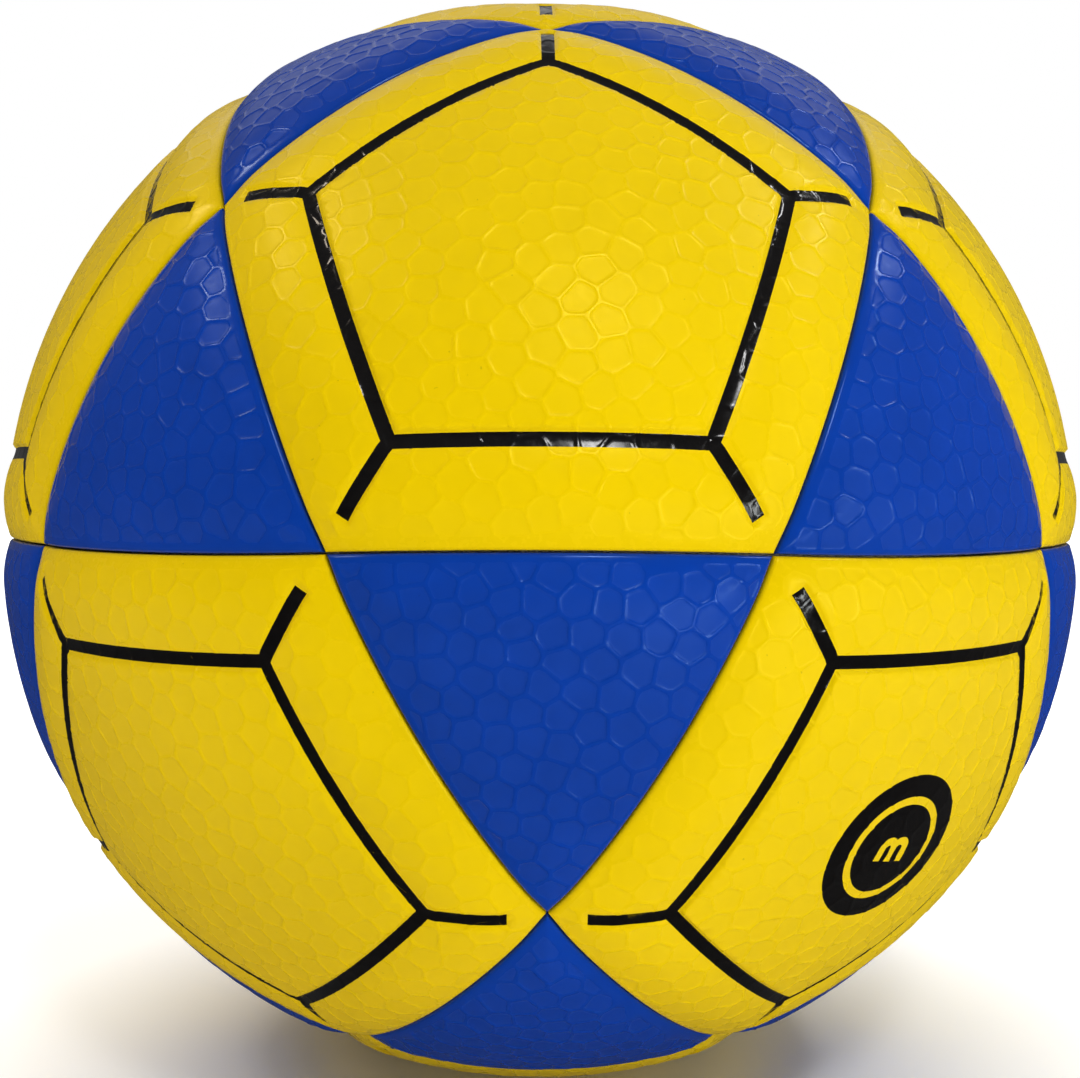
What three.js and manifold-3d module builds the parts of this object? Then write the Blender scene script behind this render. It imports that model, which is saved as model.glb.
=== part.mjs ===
// A korf ball: moulded cover panels laid edge to edge over a wound casing, with a bladder and its
// valve inside. Twelve pentagons and twenty triangles make the cover, an icosidodecahedron on a ball.
// Millimetres, +Z up, the origin at the ball's centre. A pentagon's middle lies on +Z and on -Z.

import * as THREE from "three";
import { mergeVertices } from "three/addons/utils/BufferGeometryUtils.js";
import Module from "manifold-3d";

const wasm = await Module();
wasm.setup();

// Ball and cover
const ballRadius = 95.5;
const coverThickness = 3.2;
const panelCrown = 0.4;
const seamGap = 0.3;
const seamBow = 0.5;

// Each panel falls away to its seams over a broad shoulder, and its edge is rolled in at the end
const shoulderWidth = 8;
const seamDepth = 1.4;
const edgeRollWidth = 0.5;
const edgeRollDepth = 0.4;
const cornerPitDepth = 0.6;
const cornerPitRadius = 4;

// Sunk line figure on each pentagon: a smaller pentagon, and a spoke from each of its corners
const lineInset = 14.7;
const spokeEndMargin = 5.5;
const channelFloorWidth = 2;
const channelDepth = 0.55;
const channelWallRun = 0.6;
const channelSlopeRun = 2;

// Layers under the cover
const casingThickness = 1.2;
const bladderThickness = 0.9;

// Valve, and the clearance that pieces keep where one fits in or under another
const fitClearance = 0.3;
const valveNeckRadius = 4.8;
const valveRecess = 0.5;
const valveFlangeRadius = 15;
const valveFlangeThickness = 1.3;
const valveTubeRadius = 5.6;
const valveTubeLength = 13;
const valveBoreRadius = 2.9;
const insertHeadRadius = 3.7;
const insertHeadHeight = 1.4;
const insertBarbRadius = 3.9;
const insertBarbHeight = 2.2;
const needleDimpleRadius = 0.9;
const needleDimpleDepth = 0.8;

// Facets
const stationsPerSide = 4;
const shellSegments = 24;
const shellSteps = 12;
const valveSegments = 20;

// Materials
const yellowCover = new THREE.MeshStandardMaterial({ color: 0xf0cf00, roughness: 0.36, metalness: 0 });
const blueCover = new THREE.MeshStandardMaterial({ color: 0x1f46a8, roughness: 0.36, metalness: 0 });
const woundThread = new THREE.MeshStandardMaterial({ color: 0xded6c2, roughness: 0.85, metalness: 0 });
const butylRubber = new THREE.MeshStandardMaterial({ color: 0x26262a, roughness: 0.6, metalness: 0 });
const valveRubber = new THREE.MeshStandardMaterial({ color: 0x141416, roughness: 0.55, metalness: 0 });

const coverInnerRadius = ballRadius - coverThickness;

// The net of panels

const UP = new THREE.Vector3(0, 0, 1);

// A direction from the ball's centre, by its height angle and its turn from -Y.
function direction(elevation, azimuth) {
  const across = Math.cos(elevation);
  return new THREE.Vector3(
    across * Math.sin(azimuth),
    -across * Math.cos(azimuth),
    Math.sin(elevation),
  );
}

// The middles of the twelve pentagons: a pole, two staggered rings of five and the other pole.
function pentagonMiddles() {
  const ringElevation = Math.atan(0.5);
  const fifth = (2 * Math.PI) / 5;
  const upper = [];
  const lower = [];
  for (let i = 0; i < 5; i++) {
    upper.push(direction(ringElevation, i * fifth));
    lower.push(direction(-ringElevation, (i + 0.5) * fifth));
  }
  return [UP.clone(), ...upper, ...lower, UP.clone().negate()];
}

const middles = pentagonMiddles();
const neighbourAngle = middles[0].angleTo(middles[1]);

function areNeighbours(a, b) {
  return Math.abs(a.angleTo(b) - neighbourAngle) < 0.01;
}

// Two neighbouring pentagons touch at one seam corner, halfway between their middles.
function seamCorner(a, b) {
  return a.clone().add(b).normalize();
}

// A panel's place: its middle, and a turn that brings a corner of the panel to the master's +X.
function placement(middle, corner) {
  const x = corner.clone().projectOnPlane(middle).normalize();
  const y = middle.clone().cross(x);
  return new THREE.Matrix4().makeBasis(x, y, middle);
}

function pentagonPlacements() {
  return middles.map((middle) => {
    const neighbour = middles.find((other) => areNeighbours(middle, other));
    return placement(middle, seamCorner(middle, neighbour));
  });
}

function trianglePlacements() {
  const placements = [];
  middles.forEach((a, i) => {
    middles.slice(i + 1).forEach((b, j) => {
      middles.slice(i + j + 2).forEach((c) => {
        if (areNeighbours(a, b) && areNeighbours(b, c) && areNeighbours(a, c)) {
          const middle = a.clone().add(b).add(c).normalize();
          placements.push(placement(middle, seamCorner(a, b)));
        }
      });
    });
  });
  return placements;
}

// The outline of a master panel, with its middle on +Z and a corner over +X

const pentagonCornerAngle = neighbourAngle / 2;
const triangleCornerAngle = seamCorner(middles[0], middles[1]).angleTo(
  middles[0].clone().add(middles[1]).add(middles[2]).normalize(),
);

// The corners of a regular figure on the ball, going round anticlockwise seen from outside.
function figureCorners(sides, cornerAngle) {
  const corners = [];
  for (let i = 0; i < sides; i++) {
    const azimuth = (2 * Math.PI * i) / sides;
    corners.push(
      new THREE.Vector3(
        Math.sin(cornerAngle) * Math.cos(azimuth),
        Math.sin(cornerAngle) * Math.sin(azimuth),
        Math.cos(cornerAngle),
      ),
    );
  }
  return corners;
}

// A point on the shortest way over the ball from one direction to another.
function between(from, to, share) {
  const axis = from.clone().cross(to).normalize();
  return from.clone().applyAxisAngle(axis, from.angleTo(to) * share);
}

// The angle of a figure's middle of a side, and back to its corner.
function sideAngle(sides, cornerAngle) {
  return Math.atan(Math.tan(cornerAngle) * Math.cos(Math.PI / sides));
}

function cornerAngleOf(sides, midSideAngle) {
  return Math.atan(Math.tan(midSideAngle) / Math.cos(Math.PI / sides));
}

// The angle between a figure's side and the way from its corner to its middle.
function halfCornerAngle(sides, cornerAngle) {
  const corners = figureCorners(sides, cornerAngle);
  const toMiddle = corners[0].clone().cross(UP);
  const alongSide = corners[0].clone().cross(corners[1]);
  return Math.PI / 2 - Math.abs(Math.PI / 2 - toMiddle.angleTo(alongSide));
}

// Directions round a panel, inset in millimetres from the seam line. bow moves the middles of the
// sides out, or in where it is negative.
function outline(panel, inset, bow) {
  const corners = figureCorners(panel.sides, panel.cornerAngle);
  const halfCorner = halfCornerAngle(panel.sides, panel.cornerAngle);
  const cornerInset = inset / Math.sin(halfCorner) / ballRadius;
  const points = [];
  corners.forEach((corner, i) => {
    const next = corners[(i + 1) % panel.sides];
    const inward = corner.clone().cross(next).normalize();
    points.push(between(corner, UP, cornerInset / panel.cornerAngle));
    for (let j = 1; j < stationsPerSide; j++) {
      const share = j / stationsPerSide;
      const shift = (inset - bow * 4 * share * (1 - share)) / ballRadius;
      const point = between(corner, next, share);
      points.push(point.multiplyScalar(Math.cos(shift)).addScaledVector(inward, Math.sin(shift)));
    }
  });
  return points;
}

// Directions round a figure with straight sides, as the outline's stations go.
function figureOutline(sides, midSideAngle) {
  const corners = figureCorners(sides, cornerAngleOf(sides, midSideAngle));
  return corners.flatMap((corner, i) => {
    const next = corners[(i + 1) % sides];
    return Array.from({ length: stationsPerSide }, (_, j) =>
      between(corner, next, j / stationsPerSide),
    );
  });
}

// Directions drawn in towards the middle by a share of the way, over the panel's own plane.
function drawnIn(directions, share) {
  return directions.map((point) => {
    const flat = point.clone().divideScalar(point.z);
    return flat.lerp(UP, share).normalize();
  });
}

// Closed solids

// Rings of equal counts, each joined to the next, with a fan to a point at either end. The rings
// go round anticlockwise seen from the end point.
function loft(startPoint, rings, endPoint) {
  const count = rings[0].length;
  const positions = [startPoint, ...rings.flat(), endPoint].flatMap((p) => [p.x, p.y, p.z]);
  const last = rings.length * count + 1;
  const indices = [];
  for (let i = 0; i < count; i++) {
    const next = (i + 1) % count;
    indices.push(0, 1 + next, 1 + i);
    for (let r = 0; r < rings.length - 1; r++) {
      const low = 1 + r * count;
      const high = low + count;
      indices.push(low + i, low + next, high + next);
      indices.push(low + i, high + next, high + i);
    }
    const top = 1 + (rings.length - 1) * count;
    indices.push(top + i, top + next, last);
  }
  const geometry = new THREE.BufferGeometry();
  geometry.setAttribute("position", new THREE.Float32BufferAttribute(positions, 3));
  geometry.setIndex(indices);
  return geometry;
}

function toSolid(geometry) {
  const bare = geometry.clone();
  bare.deleteAttribute("normal");
  bare.deleteAttribute("uv");
  const merged = mergeVertices(bare);
  return new wasm.Manifold(
    new wasm.Mesh({
      numProp: 3,
      vertProperties: merged.attributes.position.array,
      triVerts: new Uint32Array(merged.index.array),
    }),
  );
}

function toGeometry(solid) {
  const mesh = solid.getMesh();
  const geometry = new THREE.BufferGeometry();
  geometry.setAttribute("position", new THREE.BufferAttribute(mesh.vertProperties, 3));
  geometry.setIndex(new THREE.BufferAttribute(mesh.triVerts, 1));
  return geometry;
}

// A solid turned round +Z from points of radius and height. A profile that leaves the axis free
// closes on itself.
function revolve(profile, segments) {
  const points = profile.map(([radius, height]) => new THREE.Vector2(radius, height));
  return new THREE.LatheGeometry(points, segments).rotateX(Math.PI / 2);
}

// Cover panels

const crownRadius = ballRadius + panelCrown;

// A slope that leaves a level by a depth and comes back to it, ever flatter, over its run.
function slopeDrop(depth, run, distance) {
  const share = Math.max(0, 1 - distance / run);
  return depth * share * share;
}

// How far a point sinks into the pit where four panels meet.
function pitDrop(panel, point) {
  const nearest = Math.min(...panel.corners.map((corner) => corner.angleTo(point)));
  const share = (nearest * ballRadius) / cornerPitRadius;
  return cornerPitDepth * Math.exp(-share * share);
}

// The outside of a panel on its shoulder, at a distance from the panel's own wall.
function shoulderRadius(panel, point, distance) {
  return crownRadius - slopeDrop(seamDepth, shoulderWidth, distance) - pitDrop(panel, point);
}

// A panel's shape. Its figures are the rings inside the shoulder, each with its radius, and its
// underside has rings of its own.
function panelOf(sides, cornerAngle, bow, middleRadius, figures, underFigures) {
  const corners = figureCorners(sides, cornerAngle);
  return { sides, cornerAngle, bow, middleRadius, figures, underFigures, corners };
}

// The rings of the shoulder, from the end of the rolled edge up to the crown.
const shoulderDistances = [edgeRollWidth, edgeRollWidth + (shoulderWidth - edgeRollWidth) / 3, shoulderWidth];

// One closed panel: the underside, the wall down the seam, the rolled edge, the shoulder and what
// lies inside it.
function panelGeometry(panel) {
  const wall = outline(panel, seamGap / 2, panel.bow);
  const under = [wall, ...panel.underFigures].map((ring) =>
    ring.map((point) => point.clone().multiplyScalar(coverInnerRadius)),
  );
  const shoulder = shoulderDistances.map((distance) =>
    outline(panel, seamGap / 2 + distance, panel.bow).map((point) =>
      point.multiplyScalar(shoulderRadius(panel, point, distance)),
    ),
  );
  const edge = outline(panel, seamGap / 2, panel.bow).map((point) =>
    point.multiplyScalar(shoulderRadius(panel, point, 0) - edgeRollDepth),
  );
  const figures = panel.figures.map(({ directions, radius }) =>
    directions.map((point) => point.clone().multiplyScalar(radius)),
  );
  return loft(
    UP.clone().multiplyScalar(coverInnerRadius),
    [...under.reverse(), edge, ...shoulder, ...figures],
    UP.clone().multiplyScalar(panel.middleRadius),
  );
}

// The pentagon with its line figure. The small pentagon is a channel all round. The border outside
// it slopes down into it from its crown, and the field inside it, which lies on the ball, ends in a
// steep wall.

const channelFloorHalf = channelFloorWidth / 2;
const channelFloorRadius = ballRadius - channelDepth;
const borderSlopeWidth = lineInset - shoulderWidth - channelFloorHalf;
const lineMidSideAngle = sideAngle(5, pentagonCornerAngle) - lineInset / ballRadius;
const lineFigure = figureOutline(5, lineMidSideAngle);
const fieldFigure = drawnIn(lineFigure, 0.5);

// The border's radius at a distance from the channel's floor.
function borderRadius(distance) {
  return crownRadius - slopeDrop(panelCrown + channelDepth, borderSlopeWidth, distance);
}

const channelFigures = [
  { offset: channelFloorHalf + channelSlopeRun, radius: borderRadius(channelSlopeRun) },
  { offset: channelFloorHalf, radius: channelFloorRadius },
  { offset: -channelFloorHalf, radius: channelFloorRadius },
  { offset: -channelFloorHalf - channelWallRun, radius: ballRadius },
].map(({ offset, radius }) => ({
  directions: figureOutline(5, lineMidSideAngle + offset / ballRadius),
  radius,
}));

const pentagon = panelOf(
  5,
  pentagonCornerAngle,
  -seamBow,
  ballRadius,
  [...channelFigures, { directions: fieldFigure, radius: ballRadius }],
  [lineFigure, fieldFigure],
);

// A bar that cuts one spoke's channel, over the border's crown from one direction to another. It
// goes on above the cover as wide as its walls lean.
function spokeBar(from, to) {
  const topHalf = channelFloorHalf + 2 * channelWallRun;
  const sideways = from.clone().cross(to).normalize();
  const crownPoint = between(from, to, 0.5);
  const sections = [
    [from, channelFloorRadius],
    [crownPoint, crownRadius - channelDepth],
    [to, crownRadius - slopeDrop(seamDepth, shoulderWidth, spokeEndInset) - channelDepth],
  ].map(([middle, floorRadius]) => {
    const floor = middle.clone().multiplyScalar(floorRadius);
    const top = middle.clone().multiplyScalar(floorRadius + 2 * channelDepth);
    return [
      floor.clone().addScaledVector(sideways, -channelFloorHalf),
      floor.clone().addScaledVector(sideways, channelFloorHalf),
      top.clone().addScaledVector(sideways, topHalf),
      top.clone().addScaledVector(sideways, -topHalf),
    ];
  });
  const centreOf = (section) =>
    section.reduce((sum, point) => sum.add(point), new THREE.Vector3()).divideScalar(section.length);
  return loft(centreOf(sections[0]), sections, centreOf(sections[2]));
}

// How far a spoke's end lies from the seams on either side of its corner.
const spokeEndInset = spokeEndMargin * Math.sin(halfCornerAngle(5, pentagonCornerAngle));

// The five spokes run out from the small pentagon's corners and stop short of the panel's.
function spokeCutter() {
  const starts = figureCorners(5, cornerAngleOf(5, lineMidSideAngle));
  const ends = figureCorners(5, pentagonCornerAngle - spokeEndMargin / ballRadius);
  const bars = starts.map((start, i) => toSolid(spokeBar(start, ends[i])));
  return bars.reduce((joined, bar) => joined.add(bar));
}

// The triangle is plain

const triangleRing = figureOutline(3, sideAngle(3, triangleCornerAngle) / 2);
const triangle = panelOf(3, triangleCornerAngle, seamBow, crownRadius, [], [triangleRing]);

// The layers under the cover

// How near the flats of a panel's underside come to the ball's centre, as a share of the radius
// that their points lie on.
function nearestFlat(panel) {
  const wall = outline(panel, seamGap / 2, panel.bow);
  const rings = [wall, ...panel.underFigures, wall.map(() => UP)];
  const plane = new THREE.Plane();
  let nearest = 1;
  rings.slice(1).forEach((ring, r) => {
    ring.forEach((point, i) => {
      const outer = rings[r];
      plane.setFromCoplanarPoints(outer[i], outer[(i + 1) % ring.length], point);
      nearest = Math.min(nearest, Math.abs(plane.constant));
    });
  });
  return nearest;
}

const coverFlatRadius = coverInnerRadius * Math.min(nearestFlat(pentagon), nearestFlat(triangle));
const casingOuterRadius = coverFlatRadius - fitClearance;
const casingInnerRadius = casingOuterRadius - casingThickness;
const bladderOuterRadius = casingInnerRadius - fitClearance;
const bladderInnerRadius = bladderOuterRadius - bladderThickness;

// The valve, on its own +Z through the middle of its panel

const valveHoleRadius = valveNeckRadius + fitClearance;
const valveFaceHeight = ballRadius - valveRecess;
const flangeOuterRadius = bladderInnerRadius - fitClearance;
const flangeInnerRadius = flangeOuterRadius - valveFlangeThickness;
const tubeEndHeight = flangeInnerRadius - valveTubeLength;
const headSeatHeight = valveFaceHeight - insertHeadHeight - fitClearance;

// Radius and height of a point on a layer of the ball, by its distance from the valve's axis.
function onLayer(layerRadius, distance) {
  return [distance, Math.sqrt(layerRadius * layerRadius - distance * distance)];
}

// Neck, flange and inner tube in one rubber moulding, with a stepped bore for the insert.
function valveHousingProfile() {
  const headBore = insertHeadRadius + fitClearance;
  return [
    [valveBoreRadius, tubeEndHeight],
    [valveTubeRadius, tubeEndHeight],
    onLayer(flangeInnerRadius, valveTubeRadius),
    onLayer(flangeInnerRadius, valveFlangeRadius),
    onLayer(flangeOuterRadius, valveFlangeRadius),
    onLayer(flangeOuterRadius, (valveFlangeRadius + valveNeckRadius) / 2),
    onLayer(flangeOuterRadius, valveNeckRadius),
    [valveNeckRadius, valveFaceHeight],
    [headBore, valveFaceHeight],
    [headBore, headSeatHeight],
    [valveBoreRadius, headSeatHeight],
    [valveBoreRadius, tubeEndHeight],
  ];
}

// The self-sealing plug: a flat head with a dimple for the needle, a stem and a barbed inner end.
function valveInsertProfile() {
  const stem = valveBoreRadius - fitClearance;
  const barbTop = tubeEndHeight - fitClearance;
  const barbBottom = barbTop - insertBarbHeight;
  return [
    [0, barbBottom],
    [stem, barbBottom],
    [insertBarbRadius, barbTop],
    [stem, barbTop],
    [stem, headSeatHeight + fitClearance],
    [insertHeadRadius, headSeatHeight + fitClearance],
    [insertHeadRadius, valveFaceHeight],
    [needleDimpleRadius, valveFaceHeight],
    [0, valveFaceHeight - needleDimpleDepth],
  ];
}

// A layer of the ball with a round opening at the valve. One short step spans the valve's flange,
// so that the layer follows it closely, and even steps go on to the far side.
function shellProfile(outerRadius, innerRadius) {
  const arc = (radius) => {
    const start = Math.asin((valveFlangeRadius + fitClearance) / radius);
    const points = [onLayer(radius, valveHoleRadius)];
    for (let i = 0; i < shellSteps; i++) {
      const angle = start + ((Math.PI - start) * i) / shellSteps;
      points.push([radius * Math.sin(angle), radius * Math.cos(angle)]);
    }
    return [...points, [0, -radius]];
  };
  return [...arc(outerRadius).reverse(), ...arc(innerRadius)];
}

// The opening in the valve's panel: a short drum through the cover.
function valveHoleCutter() {
  const top = crownRadius + 1;
  const bottom = coverInnerRadius - 1;
  const profile = [
    [0, bottom],
    [valveHoleRadius, bottom],
    [valveHoleRadius, top],
    [0, top],
  ];
  return toSolid(revolve(profile, valveSegments));
}

// The assembled ball

const ball = new THREE.Group();

function addPiece(name, geometry, material, place) {
  const mesh = new THREE.Mesh(geometry, material);
  mesh.name = name;
  mesh.quaternion.setFromRotationMatrix(place);
  ball.add(mesh);
}

const twoDigits = (number) => String(number).padStart(2, "0");

// The valve sits opposite the pentagon that faces the viewer.
const pentagonPlaces = pentagonPlacements();
const frontMiddle = middles[1];
const valveIndex = middles.findIndex((middle) => middle.distanceTo(frontMiddle.clone().negate()) < 0.01);
const valvePlace = pentagonPlaces[valveIndex];

const cutPentagon = toSolid(panelGeometry(pentagon)).subtract(spokeCutter());
const pentagonPiece = toGeometry(cutPentagon);
const valvePanelPiece = toGeometry(cutPentagon.subtract(valveHoleCutter()));
pentagonPlaces.forEach((place, i) => {
  const geometry = i === valveIndex ? valvePanelPiece : pentagonPiece;
  const name = i === valveIndex ? "pentagon_panel_valve" : `pentagon_panel_${twoDigits(i + 1)}`;
  addPiece(name, geometry, yellowCover, place);
});

const trianglePiece = panelGeometry(triangle);
trianglePlacements().forEach((place, i) => {
  addPiece(`triangle_panel_${twoDigits(i + 1)}`, trianglePiece, blueCover, place);
});

const casing = revolve(shellProfile(casingOuterRadius, casingInnerRadius), shellSegments);
const bladder = revolve(shellProfile(bladderOuterRadius, bladderInnerRadius), shellSegments);
addPiece("wound_casing", casing, woundThread, valvePlace);
addPiece("bladder", bladder, butylRubber, valvePlace);
addPiece("valve_housing", revolve(valveHousingProfile(), valveSegments), valveRubber, valvePlace);
addPiece("valve_insert", revolve(valveInsertProfile(), valveSegments), valveRubber, valvePlace);

export default ball;
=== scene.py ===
"""A korf ball, dressed: embossed cover panels with inked line figures, valve and inner layers."""

import math
from itertools import combinations

import bpy
import numpy as np
from bpy.props import FloatProperty, FloatVectorProperty, IntProperty, PointerProperty
from mathutils import Matrix, Vector
from mathutils.geometry import delaunay_2d_cdt


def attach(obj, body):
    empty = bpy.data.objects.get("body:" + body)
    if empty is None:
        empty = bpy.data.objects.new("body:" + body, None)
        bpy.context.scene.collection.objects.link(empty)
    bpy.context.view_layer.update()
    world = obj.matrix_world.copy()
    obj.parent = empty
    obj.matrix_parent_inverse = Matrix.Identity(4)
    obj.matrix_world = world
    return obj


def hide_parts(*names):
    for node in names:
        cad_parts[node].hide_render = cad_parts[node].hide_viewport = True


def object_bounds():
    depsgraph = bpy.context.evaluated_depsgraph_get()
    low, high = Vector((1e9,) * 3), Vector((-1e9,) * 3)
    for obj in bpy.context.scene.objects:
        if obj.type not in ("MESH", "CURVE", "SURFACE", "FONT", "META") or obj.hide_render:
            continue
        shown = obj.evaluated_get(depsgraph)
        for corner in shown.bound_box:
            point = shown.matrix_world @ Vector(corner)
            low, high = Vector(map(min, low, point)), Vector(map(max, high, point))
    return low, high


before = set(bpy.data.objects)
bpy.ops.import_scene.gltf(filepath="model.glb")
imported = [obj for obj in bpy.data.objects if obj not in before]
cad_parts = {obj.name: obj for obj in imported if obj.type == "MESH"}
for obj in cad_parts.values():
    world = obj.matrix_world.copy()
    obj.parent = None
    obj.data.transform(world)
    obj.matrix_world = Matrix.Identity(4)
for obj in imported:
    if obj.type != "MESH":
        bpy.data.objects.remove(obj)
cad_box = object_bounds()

bl_info = {
    "name": "Korf Ball",
    "version": (1, 0, 0),
    "blender": (4, 5, 0),
    "location": "View3D > Sidebar > Korf Ball",
    "description": "Builds the embossed cover panels, the valve and the studio of a korf ball",
    "category": "Add Mesh",
}

MM = 0.001
RNG_SEED = 20
TINY = 1e-9


# Settings

def length(name, description, millimetres):
    return FloatProperty(
        name=name, description=description, default=millimetres * MM, unit="LENGTH", precision=5
    )


def colour(name, description, value):
    return FloatVectorProperty(
        name=name, description=description, default=value, subtype="COLOR", min=0, max=1
    )


def strength(name, description, value):
    return FloatProperty(name=name, description=description, default=value, min=0)


class BallSizes(bpy.types.PropertyGroup):
    """Sizes of the ball and of its cover panels, the same as the model's"""

    ball_radius: length("Ball radius", "From the centre to a panel's middle", 95.5)
    cover_thickness: length("Cover thickness", "Panel with its foam and backing", 3.2)
    panel_crown: length("Panel crown", "How far a panel's border stands over the ball", 0.4)
    seam_gap: length("Seam gap", "Between the walls of two panels", 0.3)
    seam_bow: length("Seam bow", "How far a seam's middle leaves the straight line", 0.5)
    shoulder_width: length("Shoulder width", "Slope from the crown down to the seam", 8.0)
    seam_depth: length("Seam depth", "Fall of the shoulder", 1.4)
    edge_roll_width: length("Edge roll width", "Rolled edge at the seam", 0.5)
    edge_roll_depth: length("Edge roll depth", "Rolled edge at the seam", 0.4)
    corner_pit_depth: length("Corner pit depth", "Hollow where four panels meet", 0.6)
    corner_pit_radius: length("Corner pit radius", "Hollow where four panels meet", 4.0)
    line_inset: length("Line inset", "From the seam to the middle of the line figure", 14.7)
    spoke_end_margin: length("Spoke end margin", "From a spoke's end to the panel's corner", 5.5)
    ink_width: length("Ink width", "Width of the inked lines", 2.0)
    channel_depth: length("Channel depth", "Depth of the inked channels", 0.55)
    channel_wall_run: length("Channel wall run", "Run of the channels' steep walls", 0.6)
    valve_hole_radius: length("Valve hole radius", "Opening in the valve's panel", 5.1)


class EmbossSizes(bpy.types.PropertyGroup):
    """The dimpled embossing of the cover"""

    yellow_pitch: length("Yellow pitch", "Between two dimples' middles on yellow panels", 4.75)
    blue_pitch: length("Blue pitch", "Between two dimples' middles on blue panels", 4.4)
    yellow_depth: length("Yellow depth", "Depth of yellow panels' dimples under their ridges", 0.09)
    blue_depth: length("Blue depth", "Depth of blue panels' dimples under their ridges", 0.14)
    ridge_half: length("Ridge half width", "Half the flat crest between two dimples", 0.13)
    wall_run: length("Wall run", "Run of a dimple's wall", 0.31)
    seam_band: length("Seam band", "Smooth strip along a panel's edge", 1.0)
    band_change: length("Band change", "How much the strip differs from side to side", 0.6)
    patterns: IntProperty(name="Patterns", description="Different embossings", default=3, min=1)


class CoverColours(bpy.types.PropertyGroup):
    """Colours of the cover, the ink and the rubber"""

    yellow: colour("Yellow", "Five-sided panels", (0.87, 0.605, 0.0))
    blue: colour("Blue", "Three-sided panels", (0.002, 0.044, 0.375))
    ink: colour("Ink", "Line figure and size ring", (0.0025, 0.002, 0.002))
    valve: colour("Valve rubber", "Valve housing and insert", (0.008, 0.008, 0.009))
    bladder: colour("Bladder rubber", "Bladder", (0.02, 0.02, 0.022))
    thread: colour("Thread", "Wound casing", (0.72, 0.67, 0.55))


class StudioSettings(bpy.types.PropertyGroup):
    """Light and backdrop"""

    floor_shade: colour("Floor", "Pale floor", (0.95, 0.95, 0.95))
    sky_strength: strength("Sky strength", "Light from overhead", 0.36)
    low_strength: strength("Low sky strength", "Light from below", 0.15)
    light_scale: strength("Light scale", "Power of all lamps", 1.0)


def sizes_in_mm(group):
    """The lengths of a settings group in millimetres, by name."""
    return {
        key: getattr(group, key) / MM
        for key, prop in group.bl_rna.properties.items()
        if prop.type == "FLOAT" and prop.unit == "LENGTH"
    }


# The net of panels: an icosidodecahedron on the ball

def unit(vectors):
    return vectors / np.linalg.norm(vectors, axis=-1, keepdims=True)


def compass(elevation, azimuth):
    """A direction by its height angle and its turn from -Y, in radians."""
    across = math.cos(elevation)
    return np.array([across * math.sin(azimuth), -across * math.cos(azimuth), math.sin(elevation)])


def round_pole(angle, azimuths):
    """Directions at one angle from +Z, by their turn from +X."""
    flat = np.column_stack([np.cos(azimuths), np.sin(azimuths)]) * math.sin(angle)
    return np.column_stack([flat, np.full(len(azimuths), math.cos(angle))])


def pentagon_middles():
    ring = math.atan(0.5)
    fifth = 2 * math.pi / 5
    upper = [compass(ring, i * fifth) for i in range(5)]
    lower = [compass(-ring, (i + 0.5) * fifth) for i in range(5)]
    pole = np.array([0.0, 0.0, 1.0])
    return [pole, *upper, *lower, -pole]


MIDDLES = pentagon_middles()
ANGLE_SLACK = 0.01
NEIGHBOUR_ANGLE = math.acos(float(MIDDLES[0] @ MIDDLES[1]))
PENTAGON_CORNER = NEIGHBOUR_ANGLE / 2
TRIANGLE_CORNER = math.acos(
    float(unit(MIDDLES[0] + MIDDLES[1]) @ unit(MIDDLES[0] + MIDDLES[1] + MIDDLES[2]))
)


def are_neighbours(a, b):
    return abs(math.acos(float(np.clip(a @ b, -1, 1))) - NEIGHBOUR_ANGLE) < ANGLE_SLACK


def placement(middle, corner):
    """A turn that brings the master's +Z to the panel's middle and its +X under a corner."""
    x = unit(corner - (corner @ middle) * middle)
    return np.column_stack([x, np.cross(middle, x), middle])


def pentagon_places():
    places = []
    for middle in MIDDLES:
        neighbour = next(other for other in MIDDLES if are_neighbours(middle, other))
        places.append(placement(middle, unit(middle + neighbour)))
    return places


def triangle_places():
    return [
        placement(unit(a + b + c), unit(a + b))
        for a, b, c in combinations(MIDDLES, 3)
        if are_neighbours(a, b) and are_neighbours(b, c) and are_neighbours(a, c)
    ]


def turn(angle):
    """A turn about +Z."""
    c, s = math.cos(angle), math.sin(angle)
    return np.array([[c, -s, 0.0], [s, c, 0.0], [0.0, 0.0, 1.0]])


# A panel's plan: millimetres along the ball from the panel's middle, with a corner over +X

# The channel's floor: how far its inner edge lies under the channel's depth, and its rise outwards
FLOOR_FALL = 0.05
FLOOR_RISE = 0.3
# The bright strip outside the channel
STRIP_SLOPE = 0.26
STRIP_WIDTH = 0.8
# The rounded lip of the valve's hole
HOLE_LIP = 0.35


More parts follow.
